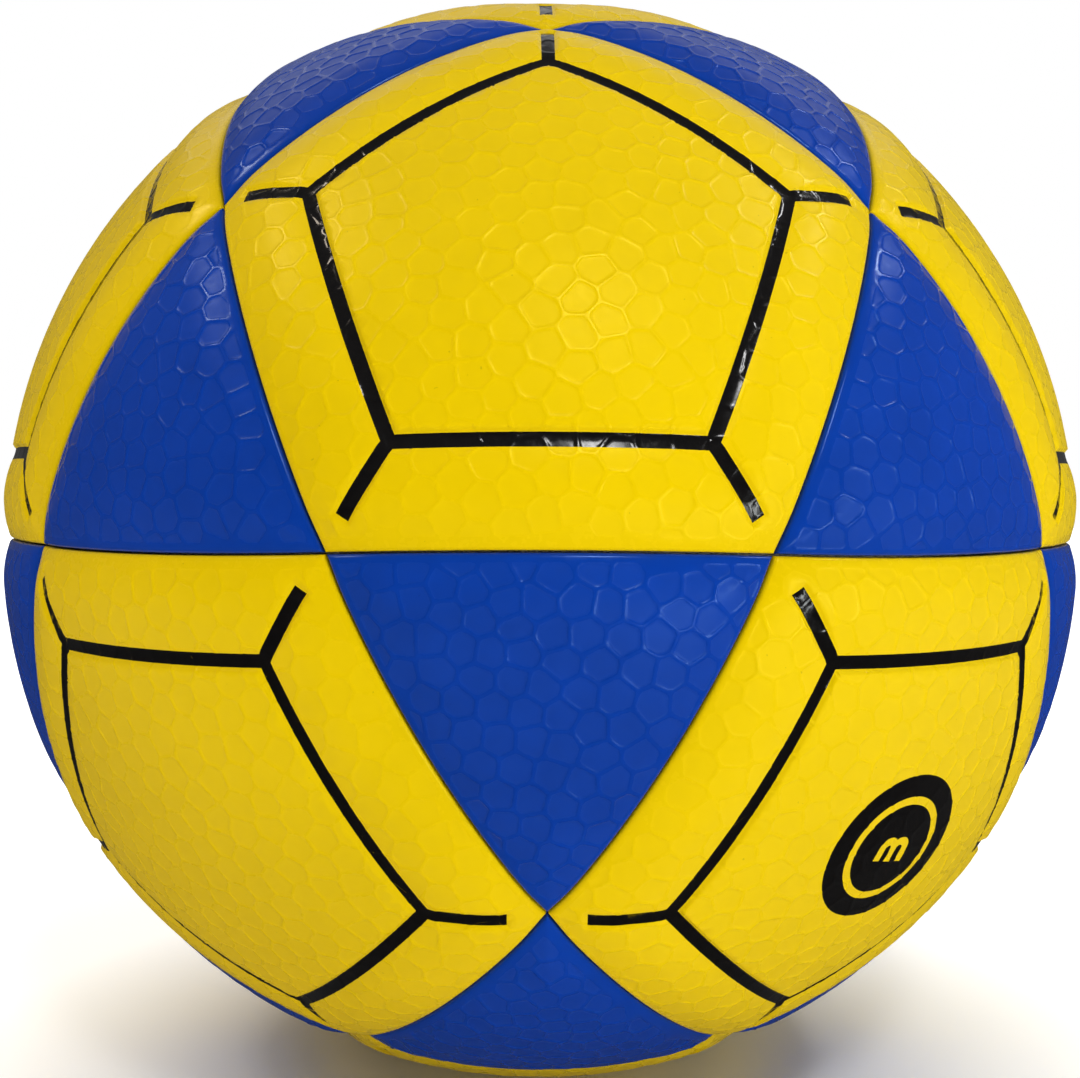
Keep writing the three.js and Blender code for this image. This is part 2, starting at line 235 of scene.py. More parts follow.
class PanelPlan:
    """Distances and heights on one master panel."""

    def __init__(self, sides, corner_angle, bow, lined, hole, ball):
        self.sides, self.corner_angle, self.bow = sides, corner_angle, bow
        self.lined, self.hole, self.ball = lined, hole, ball
        self.radius = ball["ball_radius"]
        self.azimuths = np.arange(sides) * 2 * math.pi / sides
        self.corners = round_pole(corner_angle, self.azimuths)
        following = np.roll(self.corners, -1, axis=0)
        self.inward = unit(np.cross(self.corners, following))
        self.along = np.cross(self.inward, self.corners)
        self.side_angle = math.acos(float(self.corners[0] @ following[0]))
        mid_side = math.atan(math.tan(corner_angle) * math.cos(math.pi / sides))
        self.line_angle = mid_side - ball["line_inset"] / self.radius
        line_corner = math.atan(math.tan(self.line_angle) / math.cos(math.pi / sides))
        mids = self.azimuths + math.pi / sides
        self.line_inward = np.column_stack([
            -math.cos(self.line_angle) * np.cos(mids),
            -math.cos(self.line_angle) * np.sin(mids),
            np.full(sides, math.sin(self.line_angle)),
        ])
        self.half_ink = ball["ink_width"] / 2
        self.spoke_start = line_corner * self.radius
        self.spoke_end = corner_angle * self.radius - ball["spoke_end_margin"]

    def directions(self, points):
        reach = np.linalg.norm(points, axis=1)
        angle = reach / self.radius
        scale = np.where(reach > TINY, np.sin(angle) / np.maximum(reach, TINY), 1 / self.radius)
        return np.column_stack([points * scale[:, None], np.cos(angle)])

    def reach(self, d):
        """Along the ball from the panel's middle."""
        return np.arccos(np.clip(d[:, 2], -1, 1)) * self.radius

    def flatten(self, d):
        across = np.maximum(np.linalg.norm(d[:, :2], axis=1), TINY * TINY)
        return d[:, :2] * (self.reach(d) / across)[:, None]

    def wall_distances(self, d):
        """From the panel's own wall inwards, for each of its sides."""
        reach = np.arcsin(np.clip(d @ self.inward.T, -1, 1)) * self.radius
        share = np.arctan2(d @ self.along.T, d @ self.corners.T) / self.side_angle
        share = np.clip(share, 0, 1)
        return reach + self.bow * 4 * share * (1 - share) - self.ball["seam_gap"] / 2

    def wall_distance(self, d):
        return self.wall_distances(d).min(axis=1)

    def line_distance(self, d):
        """From the line figure's middle, outwards positive."""
        return (-np.arcsin(np.clip(d @ self.line_inward.T, -1, 1))).max(axis=1) * self.radius

    def spoke_distances(self, d):
        """Across the nearest spoke's axis, and along it from the panel's middle."""
        azimuth = np.arctan2(d[:, 1], d[:, 0])
        step = 2 * math.pi / self.sides
        off = azimuth - np.round(azimuth / step) * step
        reach = np.linalg.norm(d[:, :2], axis=1)
        across = np.arcsin(np.clip(reach * np.sin(off), -1, 1)) * self.radius
        return np.abs(across), self.reach(d)

    def inked(self, d):
        if not self.lined:
            return np.zeros(len(d), bool)
        across, reach = self.spoke_distances(d)
        on_spoke = (across < self.half_ink) & (reach > self.spoke_start) & (reach < self.spoke_end)
        return (np.abs(self.line_distance(d)) < self.half_ink) | on_spoke

    def channel_share(self, d):
        """1 on a channel's floor, 0 off the channels."""
        if not self.lined:
            return np.zeros(len(d))
        run = self.ball["channel_wall_run"]
        on_line = smooth_fall((np.abs(self.line_distance(d)) - self.half_ink) / run)
        return np.maximum(on_line, self.spoke_share(d))

    def spoke_share(self, d):
        run = self.ball["channel_wall_run"]
        across, reach = self.spoke_distances(d)
        side = smooth_fall((across - self.half_ink) / run)
        end = smooth_fall((reach - self.spoke_end) / run)
        started = (reach > self.spoke_start - self.half_ink).astype(float)
        return side * end * started

    def base_radius(self, d):
        """The ball's surface without its embossing."""
        ball = self.ball
        wall = self.wall_distance(d)
        crown = self.radius + ball["panel_crown"]
        shoulder = slope_drop(ball["seam_depth"], ball["shoulder_width"], wall)
        nearest = np.arccos(np.clip((d @ self.corners.T).max(axis=1), -1, 1)) * self.radius
        pit = ball["corner_pit_depth"] * np.exp(-((nearest / ball["corner_pit_radius"]) ** 2))
        roll = rounded_edge(ball["edge_roll_depth"], ball["edge_roll_width"], wall)
        surface = crown - shoulder - pit - roll
        if self.lined:
            surface = self.lined_radius(d, surface, crown)
        if self.hole:
            surface = surface - rounded_edge(HOLE_LIP, HOLE_LIP, self.reach(d) - self.hole)
        return surface

    def lined_radius(self, d, surface, crown):
        """The sunk line figure: steep inner wall, floor that rises outwards, strip and spokes."""
        ball, half = self.ball, self.half_ink
        x = self.line_distance(d)
        low = self.radius - ball["channel_depth"] - FLOOR_FALL
        high = low + FLOOR_RISE
        out = x - half
        strip = STRIP_SLOPE * np.clip(out, 0, STRIP_WIDTH)
        slope_run = ball["line_inset"] - ball["shoulder_width"] - half - STRIP_WIDTH
        rest = crown - high - STRIP_SLOPE * STRIP_WIDTH
        border_dip = crown - high - strip - rest + slope_drop(rest, slope_run, out - STRIP_WIDTH)
        spoke_dip = ball["channel_depth"] * self.spoke_share(d)
        outside = surface - np.maximum(border_dip, spoke_dip)
        on_floor = low + FLOOR_RISE * np.clip((x + half) / ball["ink_width"], 0, 1) ** 2
        inner_wall = smooth_fall((-x - half) / ball["channel_wall_run"])
        inner = self.radius - (self.radius - low) * inner_wall
        return np.where(x > half, outside, np.where(x > -half, on_floor, inner))


def slope_drop(depth, run, distance):
    return depth * np.clip(1 - distance / run, 0, 1) ** 2


def rounded_edge(depth, width, distance):
    share = np.clip(1 - distance / width, 0, 1)
    return depth * (1 - np.sqrt(np.maximum(0, 1 - share**2)))


def smooth_fall(t):
    """1 below 0, 0 above 1, and smooth between."""
    t = np.clip(t, 0, 1)
    return 1 - t * t * (3 - 2 * t)


def square_grid(reach, spacing):
    line = np.arange(-reach, reach, spacing)
    return np.stack(np.meshgrid(line, line), axis=-1).reshape(-1, 2)


RING_SEGMENTS = 96
BOW_SEGMENTS = 20
ARM_SEGMENTS = 5


class SizeRing:
    """A printed ring round a disc with a plain numeral, on the middle of one panel. Millimetres."""

    middle = np.array([0.0, 0.5])
    right = np.array([0.707, -0.707])
    up = np.array([0.707, 0.707])
    outer, inner, disc = 12.5, 9.0, 7.7
    # The numeral: two round bows that meet at its middle height, and arms of one length
    stroke, arm, shift = 1.35, 2.3, 0.25
    bows = (1.2, -1.3)

    def outlines(self):
        rings = (self.outer, self.inner, self.disc)
        chains = [circle(reach, RING_SEGMENTS) + self.middle for reach in rings]
        angle = np.radians(np.linspace(-90, 90, BOW_SEGMENTS))
        arm = np.linspace(-self.arm, 0, ARM_SEGMENTS, endpoint=False)
        for height in self.bows:
            sides = []
            for half, way in ((self.stroke / 2, 1), (-self.stroke / 2, -1)):
                reach = abs(height) + half
                low = np.column_stack([arm, np.full(ARM_SEGMENTS, -reach)])
                arc = reach * np.column_stack([np.cos(angle), np.sin(angle)])
                high = np.column_stack([arm[::-1], np.full(ARM_SEGMENTS, reach)])
                sides.append(np.concatenate([low, arc, high])[::way])
            outline = np.concatenate(sides) + [self.shift, height]
            chains.append(self.middle + outline[:, :1] * self.right + outline[:, 1:] * self.up)
        return chains

    def inked(self, points):
        away = points - self.middle
        reach = np.linalg.norm(away, axis=1)
        across, along = away @ self.right - self.shift, away @ self.up
        numeral = np.zeros(len(points), bool)
        for height in self.bows:
            off = np.abs(np.hypot(np.maximum(across, 0), along - height) - abs(height))
            numeral |= (off < self.stroke / 2) & (across > -self.arm)
        ring = (reach < self.outer) & (reach > self.inner)
        return ring | ((reach < self.disc) & ~numeral)


# The embossing: cells of a relaxed net, each a dimple with rounded corners

# The net: a honeycomb whose points are shifted by a share of the pitch, then evened out
UNEVENNESS = 0.2
RELAXATIONS = 2
ROW_STEP = 0.866
NET_REACH = 1.2
# The samples that find each cell: how dense, how far out of their grid, how far past the walls
SAMPLES_PER_PITCH = 7
SAMPLE_JITTER = 0.3
SAMPLE_MARGIN, SITE_MARGIN = 1.5, 1.2
# A cell's form: how many neighbours bound it, how round its corners are, how deep it may be
CELL_NEIGHBOURS = 12
CORNER_ROUNDING = 5.0
FULLNESS = (0.55, 1.15)
SMALLEST_FLOOR = 0.15
CLOSEST = 1e-4
# A dimple's depth is mostly in its wall; the rest is a bowl over this many millimetres
BOWL_SHARE = 0.14
BOWL_RUN = 2.0
# The rings round a dimple, at these shares of its wall's run
RING_STEPS = (0.0, 0.35, 0.7, 1.0, 2.0)
FIXED_RINGS = (0, 3)
RING_RAYS = 24
RING_MARGIN = 0.1
RING_REACH = 1.3
BISECTIONS = 18


class Embossing:
    """Dimples over a master panel."""

    def __init__(self, plan, emboss, pitch, depth, rng):
        self.plan, self.emboss, self.pitch, self.depth = plan, emboss, pitch, depth
        reach = plan.corner_angle * plan.radius + 2 * pitch
        samples = square_grid(reach, pitch / SAMPLES_PER_PITCH)
        samples += rng.uniform(-SAMPLE_JITTER, SAMPLE_JITTER, samples.shape)
        samples = samples[plan.wall_distance(plan.directions(samples)) > -SAMPLE_MARGIN * pitch]
        sites = self.honeycomb(reach, pitch, rng)
        sites = sites[plan.wall_distance(plan.directions(sites)) > -SITE_MARGIN * pitch]
        count = len(sites)
        for _ in range(RELAXATIONS):
            owner = self.owners(samples, sites)
            weight = np.bincount(owner, minlength=count)
            mean = np.column_stack([
                np.bincount(owner, samples[:, k], minlength=count) for k in (0, 1)
            ])
            sites = np.where(weight[:, None] > 0, mean / np.maximum(weight, 1)[:, None], sites)
        self.sites = sites
        change = emboss["band_change"]
        self.bands = emboss["seam_band"] + rng.uniform(-change, change, plan.sides)
        apart = np.linalg.norm(sites[:, None] - sites[None], axis=2)
        order = np.argsort(apart, axis=1)[:, 1:CELL_NEIGHBOURS + 1]
        self.near = sites[order]
        self.middles, self.deepest = self.deepest_points(samples)
        self.kept = self.deepest > emboss["ridge_half"] + emboss["wall_run"] + SMALLEST_FLOOR
        self.fullness = rng.uniform(*FULLNESS, count)

    @staticmethod
    def honeycomb(reach, pitch, rng):
        """A hexagonal net, turned and shifted at random, with every point a little out of place."""
        most = int(1.5 * reach / pitch) + 1
        steps = np.arange(-most, most + 1)
        column, row = (axis.ravel() for axis in np.meshgrid(steps, steps))
        net = pitch * np.column_stack([column + 0.5 * (row % 2), ROW_STEP * row])
        angle = rng.uniform(0, math.pi / 3)
        cos, sin = math.cos(angle), math.sin(angle)
        net = net @ np.array([[cos, sin], [-sin, cos]]) + rng.uniform(-pitch / 2, pitch / 2, 2)
        net += rng.normal(0, UNEVENNESS * pitch, net.shape)
        return net[np.linalg.norm(net, axis=1) < reach * NET_REACH]

    @staticmethod
    def owners(points, sites, chunk=4000):
        """The nearest site of each point."""
        found = [
            ((points[i:i + chunk, None] - sites[None]) ** 2).sum(axis=2).argmin(axis=1)
            for i in range(0, len(points), chunk)
        ]
        return np.concatenate(found)

    def clip_distance(self, points):
        """From the edge of the embossed region inwards."""
        d = self.plan.directions(points)
        clip = (self.plan.wall_distances(d) - self.bands).min(axis=1)
        if self.plan.hole:
            rim = np.linalg.norm(points, axis=1) - self.plan.hole - self.emboss["seam_band"]
            clip = np.minimum(clip, rim)
        return clip

    def edge_distance(self, points, owner):
        """From the nearest edges of the owner's cell, drawn in where two of them meet."""
        site = self.sites[owner]
        near = self.near[owner]
        apart = near - site[:, None]
        gap = np.linalg.norm(apart, axis=2)
        middle = (near + site[:, None]) / 2
        reach = ((middle - points[:, None]) * apart).sum(axis=2) / gap
        reach = np.column_stack([reach, self.clip_distance(points)])
        inside = reach.min(axis=1) > CLOSEST
        reach = np.maximum(reach, CLOSEST)
        soft = (reach ** -CORNER_ROUNDING).sum(axis=1) ** (-1 / CORNER_ROUNDING)
        return np.where(inside, soft, 0.0)

    def deepest_points(self, samples):
        """The point of each cell that lies furthest from its edges, and how far that is."""
        owner = self.owners(samples, self.sites)
        soft = self.edge_distance(samples, owner)
        middles = self.sites.copy()
        deepest = np.zeros(len(self.sites))
        for point, cell, value in zip(samples, owner, soft):
            if value > deepest[cell]:
                deepest[cell] = value
                middles[cell] = point
        return middles, deepest

    def rings(self):
        """Points round each dimple, ring by ring: arrays of cells by rays by 2."""
        angle = 2 * math.pi * (np.arange(RING_RAYS) + 0.5) / RING_RAYS
        ray = np.column_stack([np.cos(angle), np.sin(angle)])
        found = []
        for step in RING_STEPS:
            level = self.emboss["ridge_half"] + step * self.emboss["wall_run"]
            cells = np.flatnonzero(self.kept & (self.deepest > level + RING_MARGIN))
            owner = np.repeat(cells, RING_RAYS)
            start = self.middles[owner]
            heading = np.tile(ray, (len(cells), 1))
            low = np.zeros(len(owner))
            high = np.full(len(owner), self.pitch * RING_REACH)
            for _ in range(BISECTIONS):
                mid = (low + high) / 2
                inside = self.edge_distance(start + heading * mid[:, None], owner) > level
                low = np.where(inside, mid, low)
                high = np.where(inside, high, mid)
            found.append((start + heading * low[:, None]).reshape(-1, RING_RAYS, 2))
        return found

    def drop(self, points):
        """How deep the embossing is at each point, and 1 on the ridges."""
        owner = self.owners(points, self.sites)
        soft = np.where(self.kept[owner], self.edge_distance(points, owner), 0.0)
        past_ridge = soft - self.emboss["ridge_half"]
        level = 1 - smooth_fall(past_ridge / self.emboss["wall_run"])
        bowl = np.clip(past_ridge / BOWL_RUN, 0, 1)
        depth = self.depth * self.fullness[owner]
        return depth * ((1 - BOWL_SHARE) * level + BOWL_SHARE * bowl), 1 - level


# Meshes, their spacings in millimetres

# Rows of points inside a panel's edge and round the valve's hole, densest where they round over
EDGE_SPACING = 0.8
EDGE_ROWS = (0.03, 0.09, 0.2, 0.34, 0.5, 0.95)
HOLE_SEGMENTS = 72
HOLE_ROWS = (0.04, 0.12, 0.22, 0.35, 0.8, 1.3)
LINE_SPACING = 0.55
SPOKE_OVERLAP = 0.2
SPOKE_WALL_START = 1.5
SPOKE_END_POINTS = 5
UNDER_SPACING = 5.0
UNDER_MARGIN = 1.5
# How much shallower the dimples are in the inked channels
CHANNEL_FADE = 0.35
# Slack for points that lie on a border
INSIDE = 1e-4
EDGE_SLACK = 0.01
HOLE_SLACK = 1e-3
MERGE_SLACK = 1e-5
SHARP_ANGLE = math.radians(60)


def loop_points(plan, inset):
    """Plan points round a panel at a distance from its wall, without those that a side's end
    pushes past its neighbour's."""
    count = max(4, int(round(plan.side_angle * plan.radius / EDGE_SPACING)))
    shares = np.arange(count) / count
    points = []
    for corner, inward, along in zip(plan.corners, plan.inward, plan.along):
        angle = shares * plan.side_angle
        on_side = corner * np.cos(angle)[:, None] + along * np.sin(angle)[:, None]
        shift = inset + plan.ball["seam_gap"] / 2 - plan.bow * 4 * shares * (1 - shares)
        shift = shift / plan.radius
        points.append(on_side * np.cos(shift)[:, None] + inward * np.sin(shift)[:, None])
    loop = np.concatenate(points)
    pull = (inset + plan.ball["seam_gap"] / 2) / math.sin(half_corner(plan)) / plan.radius
    loop[::count] = round_pole(plan.corner_angle - pull, plan.azimuths)
    flat = plan.flatten(loop)
    wall = plan.wall_distance(plan.directions(flat))
    return flat[wall > inset - EDGE_SLACK]


def half_corner(plan):
    """The angle between a side and the way from its corner to the panel's middle."""
    to_middle = np.cross(plan.corners[0], [0, 0, 1])
    along_side = np.cross(plan.corners[0], plan.corners[1])
    cosine = to_middle @ along_side / np.linalg.norm(to_middle) / np.linalg.norm(along_side)
    return math.acos(abs(cosine))


def figure_points(plan, offset):
    """Plan points round the line figure, moved outwards by offset."""
    mid_angle = plan.line_angle + offset / plan.radius
    corner_angle = math.atan(math.tan(mid_angle) / math.cos(math.pi / plan.sides))
    corners = round_pole(corner_angle, plan.azimuths)
    following = np.roll(corners, -1, axis=0)
    side = math.acos(float(corners[0] @ following[0]))
    count = int(round(side * plan.radius / LINE_SPACING))
    shares = np.arange(count) / count
    rows = []
    for a, b in zip(corners, following):
        mix = np.sin((1 - shares) * side)[:, None] * a + np.sin(shares * side)[:, None] * b
        rows.append(mix / math.sin(side))
    return plan.flatten(np.concatenate(rows))


def spoke_rows(plan, across, start, end):
    """For each spoke, plan points along both of its sides at a distance from its axis."""
    count = max(2, int(round((end - start) / LINE_SPACING)) + 1)
    reach = np.linspace(start, end, count)
    lean = np.arcsin(np.clip(math.sin(across / plan.radius) / np.sin(reach / plan.radius), -1, 1))
    rows = []
    for azimuth in plan.azimuths:
        for sign in (-1, 1):
            angle = azimuth + sign * lean
            rows.append(np.column_stack([reach * np.cos(angle), reach * np.sin(angle)]))
    return rows


class PointCloud:
    """Points and fixed edges for one triangulation."""

    def __init__(self):
        self.points, self.edges, self.count = [], [], 0

    def add(self, points):
        first = self.count
        self.points.append(points)
        self.count += len(points)
        return np.arange(first, self.count)

    def add_chain(self, points, closed):
        rows = self.add(points)
        edges = np.column_stack([rows, np.roll(rows, -1)])
        self.edges.append(edges if closed else edges[:-1])

    def add_rings(self, rings):
        """Closed rings, cells by rays by 2, with their edges fixed."""
        rows = self.add(rings.reshape(-1, 2)).reshape(rings.shape[:2])
        self.edges.append(np.column_stack([rows.ravel(), np.roll(rows, -1, axis=1).ravel()]))

    def triangulate(self):
        points = np.concatenate(self.points)
        edges = np.concatenate(self.edges).tolist()
        vertices = [Vector(p) for p in points.tolist()]
        made = delaunay_2d_cdt(vertices, edges, [], 0, MERGE_SLACK, False)
        return np.array([tuple(v) for v in made[0]]), np.array(made[2])


def circle(radius, count):
    angle = 2 * math.pi * np.arange(count) / count
    return np.column_stack([radius * np.cos(angle), radius * np.sin(angle)])


def panel_surface(plan, embossing, mark):
    """The outside of a panel: plan points and triangles."""
    cloud = PointCloud()
    cloud.add_chain(loop_points(plan, 0), True)
    for inset in EDGE_ROWS:
        cloud.add(loop_points(plan, inset))
    if plan.hole:
        cloud.add_chain(circle(plan.hole, HOLE_SEGMENTS), True)
        for extra in HOLE_ROWS:
            cloud.add(circle(plan.hole + extra, HOLE_SEGMENTS))
    if plan.lined:
        add_line_figure(cloud, plan)
    for chain in mark.outlines() if mark else ():
        cloud.add_chain(chain, True)
    for index, rings in enumerate(embossing.rings()):
        if index in FIXED_RINGS:
            cloud.add_rings(rings)
        else:
            cloud.add(rings.reshape(-1, 2))
    cloud.add(embossing.middles[embossing.kept])
    points, faces = cloud.triangulate()
    return points, faces_on_panel(plan, points, faces)


def faces_on_panel(plan, points, faces):
    """The triangles between the panel's walls and outside its hole, seen anticlockwise."""
    centres = points[faces].mean(axis=1)
    keep = plan.wall_distance(plan.directions(centres)) > INSIDE
    if plan.hole:
        rim = plan.hole * math.cos(math.pi / HOLE_SEGMENTS) - HOLE_SLACK
        keep &= np.linalg.norm(centres, axis=1) > rim
    faces = faces[keep]
    a, b, c = (points[faces[:, k]] for k in range(3))
    area = (b - a)[:, 0] * (c - a)[:, 1] - (b - a)[:, 1] * (c - a)[:, 0]
    whole = np.abs(area) > TINY
    faces, flipped = faces[whole], area[whole] < 0
    faces[flipped] = faces[flipped][:, ::-1]
    return faces


def add_line_figure(cloud, plan):
    """Rows along the channels: fixed at the ink's edges, free on the floor and the walls."""
    half = plan.half_ink
    run = plan.ball["channel_wall_run"]
    for offset in (-half, half):
        cloud.add_chain(figure_points(plan, offset), True)
    for offset in (-half - run, -half - run / 2, -half / 3, half / 3, half + STRIP_WIDTH):
        cloud.add(figure_points(plan, offset))
    start = plan.spoke_start + half * SPOKE_OVERLAP
    rows = spoke_rows(plan, half, start, plan.spoke_end)
    for row in rows:
        cloud.add_chain(row, False)
    shares = np.linspace(0, 1, SPOKE_END_POINTS)[:, None]
    for left, right in zip(rows[::2], rows[1::2]):
        cloud.add_chain(left[-1] * (1 - shares) + right[-1] * shares, False)
    first, last = start + SPOKE_WALL_START, plan.spoke_end + run
    for across in (half + run / 2, half + run):
        for row in spoke_rows(plan, across, first, last):
            cloud.add(row)


def open_edges(faces):
    """The directed edges that only one triangle has."""
    edges = np.concatenate([faces[:, [0, 1]], faces[:, [1, 2]], faces[:, [2, 0]]])
    edges = edges.astype(np.int64)
    base = faces.max() + 1
    forth = edges[:, 0] * base + edges[:, 1]
    back = edges[:, 1] * base + edges[:, 0]
    return edges[~np.isin(forth, back)]


def closed_panel(plan, embossing, mark):
    """A whole panel in metres, +Z through its middle: embossed outside, walls, plain underside."""
    points, faces = panel_surface(plan, embossing, mark)
    d = plan.directions(points)
    drop, ridge = embossing.drop(points)
    drop = drop * (1 - CHANNEL_FADE * plan.channel_share(d))
    outside = d * (plan.base_radius(d) - drop)[:, None]
    rim = open_edges(faces)
    used = np.unique(rim)
    under_radius = plan.radius - plan.ball["cover_thickness"]
    row_of = np.full(len(points), -1)
    row_of[used] = np.arange(len(used)) + len(points)
    under_rim = d[used] * under_radius
    wall_a = np.column_stack([rim[:, 1], rim[:, 0], row_of[rim[:, 0]]])
    wall_b = np.column_stack([rim[:, 1], row_of[rim[:, 0]], row_of[rim[:, 1]]])
    under_points, under_faces = underside(plan, points[used], rim, used)
    inner = plan.directions(under_points[len(used):]) * under_radius
    under_faces = under_faces[:, ::-1] + len(points)
    vertices = np.concatenate([outside, under_rim, inner]) * MM
    triangles = np.concatenate([faces, wall_a, wall_b, under_faces])
    centres = points[faces].mean(axis=1)
    slots = np.zeros(len(triangles), np.int32)
    slots[:len(faces)] = plan.inked(plan.directions(centres))
    if mark:
        slots[:len(faces)] |= mark.inked(centres)
    crest = np.zeros(len(vertices))
    crest[:len(points)] = ridge
    return vertices, triangles, slots, crest


def underside(plan, rim_points, rim, used):
    """A plain inner face that shares its rim with the walls. The rim's points come first."""
    cloud = PointCloud()
    cloud.add(rim_points)
    place = {int(v): i for i, v in enumerate(used)}
    cloud.edges.append(np.array([[place[int(a)], place[int(b)]] for a, b in rim]))
    inner = square_grid(plan.corner_angle * plan.radius, UNDER_SPACING)
    fits = plan.wall_distance(plan.directions(inner)) > UNDER_MARGIN
    if plan.hole:
        fits &= np.linalg.norm(inner, axis=1) > plan.hole + UNDER_MARGIN
    cloud.add(inner[fits])
    points, faces = cloud.triangulate()
    return points, faces_on_panel(plan, points, faces)


def add_mesh(name, vertices, triangles, slots, crest, materials):
    """An object of triangles, each with its material slot. Materials read the crest share."""
    mesh = bpy.data.meshes.new(name)
    mesh.vertices.add(len(vertices))
    mesh.vertices.foreach_set("co", vertices.astype(np.float32).ravel())
    mesh.loops.add(len(triangles) * 3)
    mesh.loops.foreach_set("vertex_index", triangles.astype(np.int32).ravel())
    mesh.polygons.add(len(triangles))
    mesh.polygons.foreach_set("loop_start", np.arange(0, len(triangles) * 3, 3, dtype=np.int32))
    for material in materials:
        mesh.materials.append(material)
    mesh.polygons.foreach_set("material_index", slots)
    mesh.update(calc_edges=True)
    layer = mesh.attributes.new("crest", "FLOAT", "POINT")
    layer.data.foreach_set("value", crest.astype(np.float32))
    mesh.shade_smooth()
    mesh.set_sharp_from_angle(angle=SHARP_ANGLE)
    piece = bpy.data.objects.new(name, mesh)
    bpy.context.scene.collection.objects.link(piece)
    return piece


# Materials

# Patterns of noise: scale in a metre, detail, and the part of the noise's range that counts
CLOUDS = (22, 4, 0.35, 0.65)
BLOTCHES = (190, 3, 0.3, 0.7)
SPECKS = (1300, 1, 0.8, 0.83)
COVER_GRAIN = (900, 2, 0.3, 0.7)
INK_STREAKS = (700, 4, 0.3, 0.75)
INK_GRAIN = (1500, 3, 0.3, 0.7)
DUST = (300, 5, 0.45, 0.8)
RUBBER_GRAIN = (1100, 3, 0.3, 0.7)
PAPER = (6, 2, 0.3, 0.7)
# How strongly patterns show, and the shades that they bring
BLOTCH_SHARE, SPECK_SHARE = 0.3, 0.35
SPECK_SHADE, STREAK_SHADE, DUST_SHADE, PAPER_SHADE = 0.35, 1.6, 2.2, 0.99
# Roughness, from its low to its high end or with its spread, and reflection
COVER_ROUGHNESS, INK_ROUGHNESS = (0.32, 0.4), (0.1, 0.2)
VALVE_ROUGHNESS, BLADDER_ROUGHNESS, RUBBER_SPREAD = 0.5, 0.6, 0.08
COVER_SPECULAR, INK_SPECULAR = 0.35, 0.38
# Fine skins: noises, and the strength of their bump and its height in metres
PEEL_COARSE, PEEL_FINE, PEEL_FINE_SHARE = (650, 2), (4200, 3), 0.25
PEEL_BUMP = (0.12, 0.00006)
INK_FILM, INK_BUMP = (1900, 3), (0.12, 0.00003)
RUBBER_SKIN, RUBBER_BUMP = (2400, 5), (0.3, 0.00006)
# The thread's layers, turn and scale of each, how cords waver, and painted shade between them
THREAD_LAYERS = ((0.4, 620), (1.9, 560), (2.8, 590))
THREAD_WAVER, THREAD_PAINTED_SHADE, THREAD_ROUGHNESS = 1.5, 0.6, 0.8
THREAD_BUMP = (0.6, 0.0003)
# A cover's finish: shades of its colour in the clouds and blotches, how much painted shade
# darkens the crests, how much glossier the crests are, and the tint of its highlights
YELLOW_FINISH = (0.92, 1.04, 0.03, 0.1, (1.0, 0.85, 0.12))
BLUE_FINISH = (0.82, 1.2, 0.12, 0.17, (0.35, 0.6, 1.0))


class Nodes:
    """A node tree, with short ways to add to it."""

    def __init__(self, owner):
        owner.use_nodes = True
        self.tree = owner.node_tree
        self.tree.nodes.clear()

    def node(self, kind, sockets=(), **settings):
        """Adds a node. Its sockets come by name or number."""
        made = self.tree.nodes.new(f"ShaderNode{kind}")
        for key, value in settings.items():
            setattr(made, key, value)
        for key, value in dict(sockets).items():
            self.join(value, made.inputs[key])
        return made

    def join(self, value, socket):
        """Sets a socket to a number or a colour, or links it to another node's socket."""
        if isinstance(value, (int, float)):
            socket.default_value = value
        elif isinstance(value, tuple):
            socket.default_value = (*value, 1.0)
        else:
            self.tree.links.new(value, socket)

    def remap(self, source, low, high, to_low=0.0, to_high=1.0):
        values = enumerate((source, low, high, to_low, to_high))
        return self.node("MapRange", values).outputs["Result"]

    def maths(self, operation, first, second):
        return self.node("Math", {0: first, 1: second}, operation=operation).outputs[0]


class Paint(Nodes):
    """A material with one shader."""

    def __init__(self, name):
        self.material = bpy.data.materials.new(name)
        super().__init__(self.material)
        self.shader = self.node("BsdfPrincipled")
        self.node("OutputMaterial", {"Surface": self.shader.outputs[0]})
        self.place = self.node("TexCoord").outputs["Object"]

    def set(self, **values):
        """Sets or links the shader's own sockets."""
        for key, value in values.items():
            self.join(value, self.shader.inputs[key.replace("_", " ")])

    def noise(self, scale, detail):
        sockets = {"Vector": self.place, "Scale": scale, "Detail": detail}
        return self.node("TexNoise", sockets).outputs["Fac"]

    def pattern(self, scale, detail, low, high, to_low=0.0, to_high=1.0):
        return self.remap(self.noise(scale, detail), low, high, to_low, to_high)

    def mix(self, share, first, second):
        """Mixes two colours, each a tuple or a socket."""
        sockets = {"Factor": share, "A": first, "B": second}
        return self.node("Mix", sockets, data_type="RGBA").outputs["Result"]

    def bump(self, height, strength, distance):
        sockets = {"Height": height, "Strength": strength, "Distance": distance}
        self.set(Normal=self.node("Bump", sockets).outputs["Normal"])


def shade(value, factor):
    return tuple(min(1.0, channel * factor) for channel in value)


